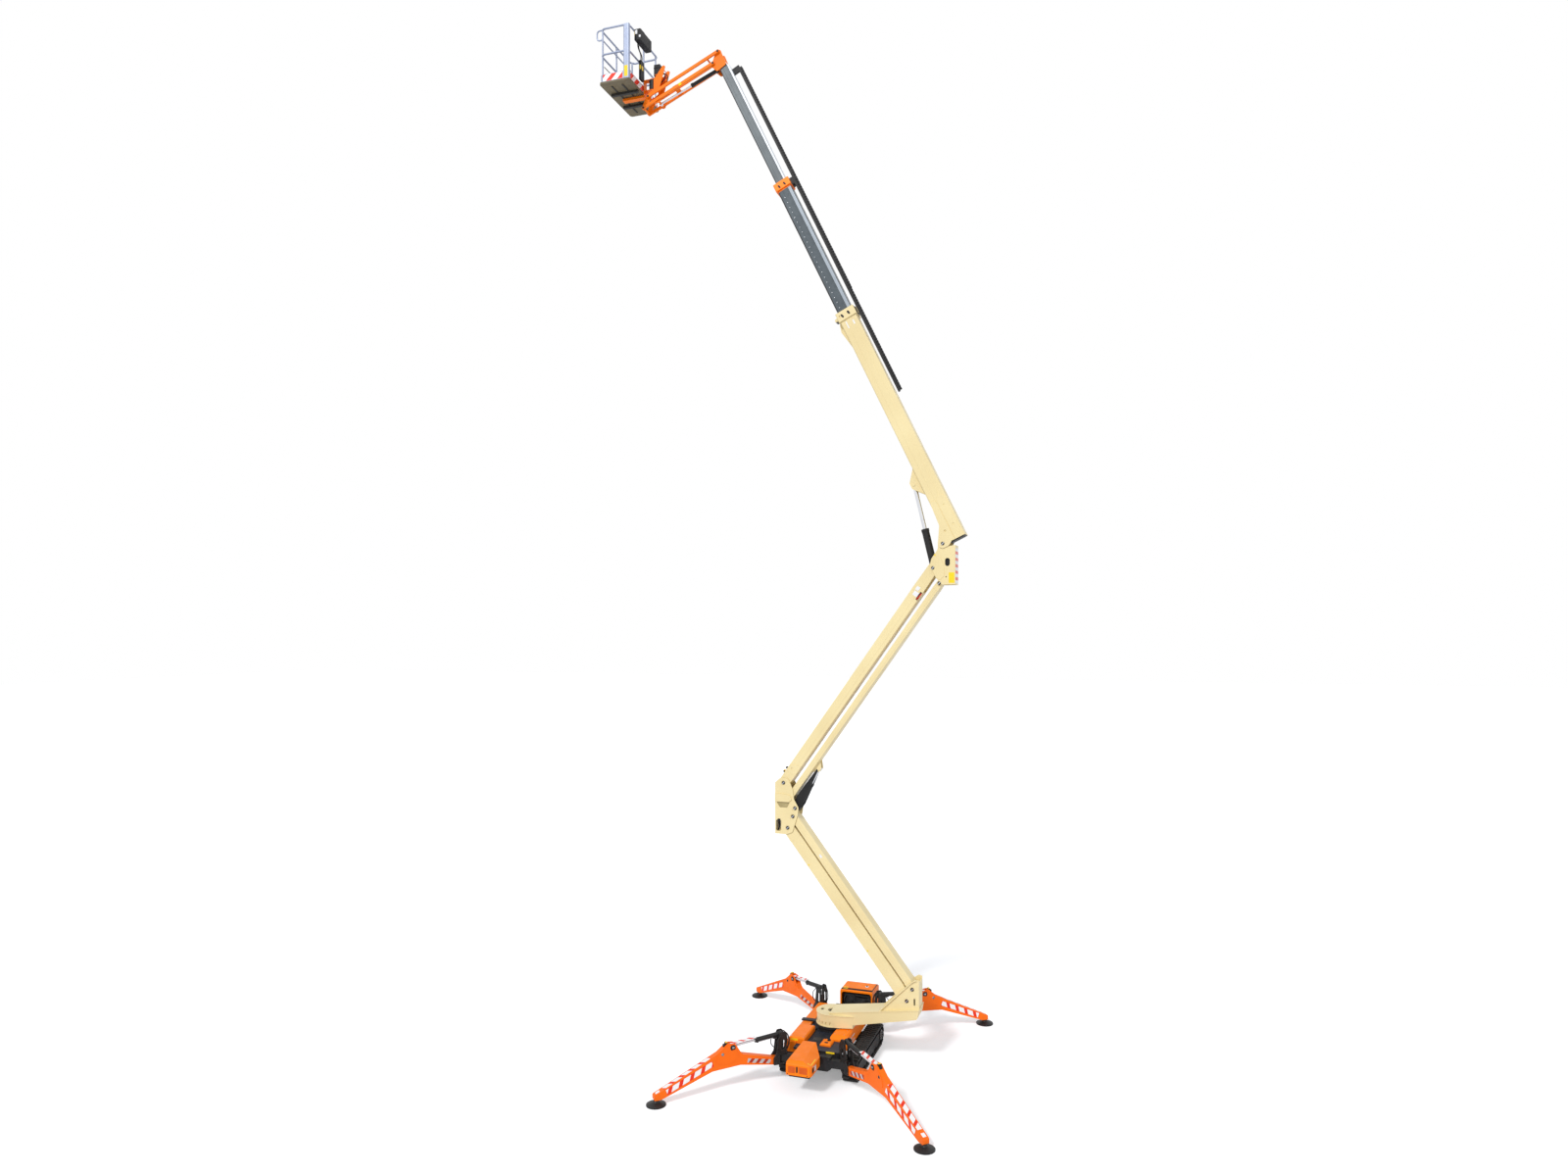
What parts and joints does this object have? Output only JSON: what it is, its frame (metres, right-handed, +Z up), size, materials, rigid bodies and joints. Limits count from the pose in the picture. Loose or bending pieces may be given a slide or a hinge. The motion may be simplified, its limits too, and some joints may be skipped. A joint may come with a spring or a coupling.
{
  "type": "crawler boom lift",
  "caption": "Tracked boom lift on outriggers, with a double-parallelogram riser, a telescopic boom, a jib and a basket.",
  "frame": {"origin": "ground level, at the centre of the box that the set-up machine fills", "axes": "+Z up, +X from the basket to the turret arm in the boom plane, +Y from the front hood to the engine"},
  "size_m": [7.5433, 6.0197, 20.5608],
  "materials": {
    "cream_paint": "satin",
    "orange_paint": "satin",
    "dark_paint": "satin",
    "steel_paint": "satin",
    "chrome_rod": "polished",
    "track_rubber": "matte",
    "basket_metal": "satin",
    "black_plastic": "matte"
  },
  "bodies": {
    "chassis": {"chassis_frame": "dark_paint", "track_left": "track_rubber", "track_right": "track_rubber", "track_frame_left": "dark_paint", "track_frame_right": "dark_paint", "front_hood": "orange_paint", "rear_hood": "orange_paint", "engine_block": "dark_paint", "left_side_box": "orange_paint", "right_side_cover": "orange_paint", "deck_control_cover": "orange_paint"},
    "turret": {"turret": "cream_paint"},
    "lower_beam": {"lower_beam": "cream_paint"},
    "lower_tie": {"lower_tie": "cream_paint"},
    "knuckle": {"knuckle": "cream_paint"},
    "upper_beam": {"upper_beam": "cream_paint"},
    "upper_tie": {"upper_tie": "cream_paint"},
    "riser_barrel": {"riser_barrel": "dark_paint"},
    "riser_rod": {"riser_rod": "chrome_rod"},
    "head": {"head_bracket": "cream_paint"},
    "main_boom": {"main_boom": "cream_paint"},
    "lift_barrel": {"lift_barrel": "dark_paint"},
    "lift_rod": {"lift_rod": "chrome_rod"},
    "extension_1": {"extension_1": "steel_paint", "carrier_rail_1": "steel_paint"},
    "extension_2": {"extension_2": "steel_paint", "carrier_rail_2": "steel_paint"},
    "jib_knuckle": {"jib_knuckle": "orange_paint"},
    "jib_upper_bars": {"jib_upper_bars": "orange_paint"},
    "jib_lower_bars": {"jib_lower_bars": "orange_paint"},
    "jib_barrel": {"jib_barrel": "dark_paint"},
    "jib_rod": {"jib_rod": "chrome_rod"},
    "jib_link": {"jib_link": "orange_paint", "rotator": "dark_paint", "junction_box": "black_plastic"},
    "basket": {"basket_support": "orange_paint", "basket_floor": "basket_metal", "basket_frame": "basket_metal", "basket_console": "black_plastic", "basket_panel": "black_plastic"},
    "bracket_front_left": {"outrigger_bracket_front_left": "dark_paint"},
    "leg_front_left": {"outrigger_leg_front_left": "orange_paint", "outrigger_foot_front_left": "dark_paint"},
    "leg_barrel_front_left": {"outrigger_barrel_front_left": "dark_paint"},
    "leg_rod_front_left": {"outrigger_rod_front_left": "chrome_rod"},
    "bracket_front_right": {"outrigger_bracket_front_right": "dark_paint"},
    "leg_front_right": {"outrigger_leg_front_right": "orange_paint", "outrigger_foot_front_right": "dark_paint"},
    "leg_barrel_front_right": {"outrigger_barrel_front_right": "dark_paint"},
    "leg_rod_front_right": {"outrigger_rod_front_right": "chrome_rod"},
    "bracket_rear_right": {"outrigger_bracket_rear_right": "dark_paint"},
    "leg_rear_right": {"outrigger_leg_rear_right": "orange_paint", "outrigger_foot_rear_right": "dark_paint"},
    "leg_barrel_rear_right": {"outrigger_barrel_rear_right": "dark_paint"},
    "leg_rod_rear_right": {"outrigger_rod_rear_right": "chrome_rod"},
    "bracket_rear_left": {"outrigger_bracket_rear_left": "dark_paint"},
    "leg_rear_left": {"outrigger_leg_rear_left": "orange_paint", "outrigger_foot_rear_left": "dark_paint"},
    "leg_barrel_rear_left": {"outrigger_barrel_rear_left": "dark_paint"},
    "leg_rod_rear_left": {"outrigger_rod_rear_left": "chrome_rod"}
  },
  "joints": [
    {"name": "slew", "type": "hinge", "parent": "chassis", "child": "turret", "pos_m": [1.056, 0.072, 0], "axis": [0, 0, -1], "range_deg": [-90, 265]},
    {"name": "lower_boom_luff", "type": "hinge", "parent": "turret", "child": "lower_beam", "pos_m": [2.55, 0.072, 1.344], "axis": [0, 1, 0], "range_deg": [-59.8, 7]},
    {"name": "lower_tie_hinge", "type": "hinge", "parent": "turret", "child": "lower_tie", "pos_m": [2.655, 0.072, 1.572], "axis": [0, 1, 0], "range_deg": [-59.8, 7]},
    {"name": "knuckle_hinge", "type": "hinge", "parent": "lower_beam", "child": "knuckle", "pos_m": [0.18239, 0.072, 4.46321], "axis": [0, 1, 0], "range_deg": [-7, 59.8]},
    {"name": "upper_boom_luff", "type": "hinge", "parent": "knuckle", "child": "upper_beam", "pos_m": [0.09439, 0.072, 5.34121], "axis": [0, -1, 0], "range_deg": [-48.6, 10]},
    {"name": "upper_tie_hinge", "type": "hinge", "parent": "knuckle", "child": "upper_tie", "pos_m": [0.21239, 0.072, 5.05321], "axis": [0, -1, 0], "range_deg": [-48.6, 10]},
    {"name": "head_hinge", "type": "hinge", "parent": "upper_beam", "child": "head", "pos_m": [3.04641, 0.072, 9.4951], "axis": [0, -1, 0], "range_deg": [-10, 48.6]},
    {"name": "main_boom_luff", "type": "hinge", "parent": "head", "child": "main_boom", "pos_m": [3.23541, 0.072, 9.9451], "axis": [0, 1, 0], "range_deg": [-68, 16]},
    {"name": "riser_swing", "type": "hinge", "parent": "knuckle", "child": "riser_barrel", "pos_m": [0.33239, 0.072, 4.85421], "axis": [0, -1, 0], "range_deg": [-46.36, 9.58]},
    {"name": "riser_stroke", "type": "slide", "parent": "riser_barrel", "child": "riser_rod", "axis": [0.506, 0, 0.8625], "range_m": [-0.18591, 0.03905]},
    {"name": "lift_swing", "type": "hinge", "parent": "head", "child": "lift_barrel", "pos_m": [3.04641, 0.072, 9.4951], "axis": [0, 1, 0], "range_deg": [-56.35, 13.3]},
    {"name": "lift_stroke", "type": "slide", "parent": "lift_barrel", "child": "lift_rod", "axis": [-0.2329, 0, 0.9725], "range_m": [-0.46671, 0.11058]},
    {"name": "extension_1_slide", "type": "slide", "parent": "main_boom", "child": "extension_1", "axis": [-0.4384, 0, 0.8988], "range_m": [-2.5, 0]},
    {"name": "extension_2_slide", "type": "slide", "parent": "extension_1", "child": "extension_2", "axis": [-0.4384, 0, 0.8988], "range_m": [-2.5, 0]},
    {"name": "jib_level", "type": "hinge", "parent": "extension_2", "child": "jib_knuckle", "pos_m": [-1.27327, 0.072, 19.82114], "axis": [0, 1, 0], "range_deg": [-16, 68]},
    {"name": "jib_luff", "type": "hinge", "parent": "jib_knuckle", "child": "jib_upper_bars", "pos_m": [-1.30927, 0.072, 19.95714], "axis": [0, 1, 0], "range_deg": [-24, 66]},
    {"name": "jib_lower_hinge", "type": "hinge", "parent": "jib_knuckle", "child": "jib_lower_bars", "pos_m": [-1.41427, 0.072, 19.73714], "axis": [0, 1, 0], "range_deg": [-24, 66]},
    {"name": "jib_link_hinge", "type": "hinge", "parent": "jib_upper_bars", "child": "jib_link", "pos_m": [-2.85472, 0.072, 19.31383], "axis": [0, 1, 0], "range_deg": [-66, 24]},
    {"name": "jib_swing", "type": "hinge", "parent": "jib_knuckle", "child": "jib_barrel", "pos_m": [-1.38327, 0.072, 19.65614], "axis": [0, 1, 0], "range_deg": [-23.51, 64.55]},
    {"name": "jib_stroke", "type": "slide", "parent": "jib_barrel", "child": "jib_rod", "axis": [-0.9356, 0, -0.353], "range_m": [-0.03464, 0.0935]},
    {"name": "basket_turn", "type": "hinge", "parent": "jib_link", "child": "basket", "pos_m": [-2.81472, 0.072, 0], "axis": [0, 0, 1], "range_deg": [-90, 90]},
    {"name": "swivel_front_left", "type": "hinge", "parent": "chassis", "child": "bracket_front_left", "pos_m": [0.456, -1.178, 0], "axis": [0, 0, -1], "range_deg": [-47, 13]},
    {"name": "leg_lift_front_left", "type": "hinge", "parent": "bracket_front_left", "child": "leg_front_left", "pos_m": [0.3463, -1.2803, 0.42], "axis": [0.682, -0.7314, 0], "range_deg": [-47, 0]},
    {"name": "leg_barrel_swing_front_left", "type": "hinge", "parent": "bracket_front_left", "child": "leg_barrel_front_left", "pos_m": [0.42675, -1.20528, 0.885], "axis": [0.682, -0.7314, 0], "range_deg": [-50.37, 0.05]},
    {"name": "leg_rod_stroke_front_left", "type": "slide", "parent": "leg_barrel_front_left", "child": "leg_rod_front_left", "axis": [-0.7286, -0.6794, -0.0873], "range_m": [-0.37952, 0.001]},
    {"name": "swivel_front_right", "type": "hinge", "parent": "chassis", "child": "bracket_front_right", "pos_m": [1.656, -1.178, 0], "axis": [0, 0, 1], "range_deg": [-47, 13]},
    {"name": "leg_lift_front_right", "type": "hinge", "parent": "bracket_front_right", "child": "leg_front_right", "pos_m": [1.7657, -1.2803, 0.42], "axis": [0.682, 0.7314, 0], "range_deg": [-47, 0]},
    {"name": "leg_barrel_swing_front_right", "type": "hinge", "parent": "bracket_front_right", "child": "leg_barrel_front_right", "pos_m": [1.68525, -1.20528, 0.885], "axis": [0.682, 0.7314, 0], "range_deg": [-50.37, 0.05]},
    {"name": "leg_rod_stroke_front_right", "type": "slide", "parent": "leg_barrel_front_right", "child": "leg_rod_front_right", "axis": [0.7286, -0.6794, -0.0873], "range_m": [-0.37952, 0.001]},
    {"name": "swivel_rear_right", "type": "hinge", "parent": "chassis", "child": "bracket_rear_right", "pos_m": [1.656, 1.372, 0], "axis": [0, 0, -1], "range_deg": [-53, 13]},
    {"name": "leg_lift_rear_right", "type": "hinge", "parent": "bracket_rear_right", "child": "leg_rear_right", "pos_m": [1.7758, 1.46227, 0.42], "axis": [-0.6018, 0.7986, 0], "range_deg": [-47, 0]},
    {"name": "leg_barrel_swing_rear_right", "type": "hinge", "parent": "bracket_rear_right", "child": "leg_barrel_rear_right", "pos_m": [1.68795, 1.39607, 0.885], "axis": [-0.6018, 0.7986, 0], "range_deg": [-50.37, 0.05]},
    {"name": "leg_rod_stroke_rear_right", "type": "slide", "parent": "leg_barrel_rear_right", "child": "leg_rod_rear_right", "axis": [0.7956, 0.5995, -0.0873], "range_m": [-0.37952, 0.001]},
    {"name": "swivel_rear_left", "type": "hinge", "parent": "chassis", "child": "bracket_rear_left", "pos_m": [0.456, 1.372, 0], "axis": [0, 0, 1], "range_deg": [-53, 13]},
    {"name": "leg_lift_rear_left", "type": "hinge", "parent": "bracket_rear_left", "child": "leg_rear_left", "pos_m": [0.3362, 1.46227, 0.42], "axis": [-0.6018, -0.7986, 0], "range_deg": [-47, 0]},
    {"name": "leg_barrel_swing_rear_left", "type": "hinge", "parent": "bracket_rear_left", "child": "leg_barrel_rear_left", "pos_m": [0.42406, 1.39607, 0.885], "axis": [-0.6018, -0.7986, 0], "range_deg": [-50.37, 0.05]},
    {"name": "leg_rod_stroke_rear_left", "type": "slide", "parent": "leg_barrel_rear_left", "child": "leg_rod_rear_left", "axis": [-0.7956, 0.5995, -0.0873], "range_m": [-0.37952, 0.001]}
  ],
  "couplings": [
    {"joint": "lower_tie_hinge", "follows": "lower_boom_luff", "ratio": 1},
    {"joint": "knuckle_hinge", "follows": "lower_boom_luff", "ratio": -1},
    {"joint": "upper_tie_hinge", "follows": "upper_boom_luff", "ratio": 1},
    {"joint": "head_hinge", "follows": "upper_boom_luff", "ratio": -1},
    {"joint": "riser_swing", "follows": "upper_boom_luff", "ratio": 0.9529},
    {"joint": "riser_stroke", "follows": "upper_boom_luff", "m_per_rad": 0.218},
    {"joint": "lift_swing", "follows": "main_boom_luff", "ratio": 0.8279},
    {"joint": "lift_stroke", "follows": "main_boom_luff", "m_per_rad": 0.3924},
    {"joint": "extension_2_slide", "follows": "extension_1_slide", "ratio": 1},
    {"joint": "jib_level", "follows": "main_boom_luff", "ratio": -1},
    {"joint": "jib_lower_hinge", "follows": "jib_luff", "ratio": 1},
    {"joint": "jib_link_hinge", "follows": "jib_luff", "ratio": -1},
    {"joint": "jib_swing", "follows": "jib_luff", "ratio": 0.9773},
    {"joint": "jib_stroke", "follows": "jib_luff", "m_per_rad": 0.0803},
    {"joint": "leg_barrel_swing_front_left", "follows": "leg_lift_front_left", "ratio": 1.0705},
    {"joint": "leg_rod_stroke_front_left", "follows": "leg_lift_front_left", "m_per_rad": 0.46143},
    {"joint": "leg_barrel_swing_front_right", "follows": "leg_lift_front_right", "ratio": 1.0705},
    {"joint": "leg_rod_stroke_front_right", "follows": "leg_lift_front_right", "m_per_rad": 0.46143},
    {"joint": "leg_barrel_swing_rear_right", "follows": "leg_lift_rear_right", "ratio": 1.0705},
    {"joint": "leg_rod_stroke_rear_right", "follows": "leg_lift_rear_right", "m_per_rad": 0.46143},
    {"joint": "leg_barrel_swing_rear_left", "follows": "leg_lift_rear_left", "ratio": 1.0705},
    {"joint": "leg_rod_stroke_rear_left", "follows": "leg_lift_rear_left", "m_per_rad": 0.46143}
  ]
}
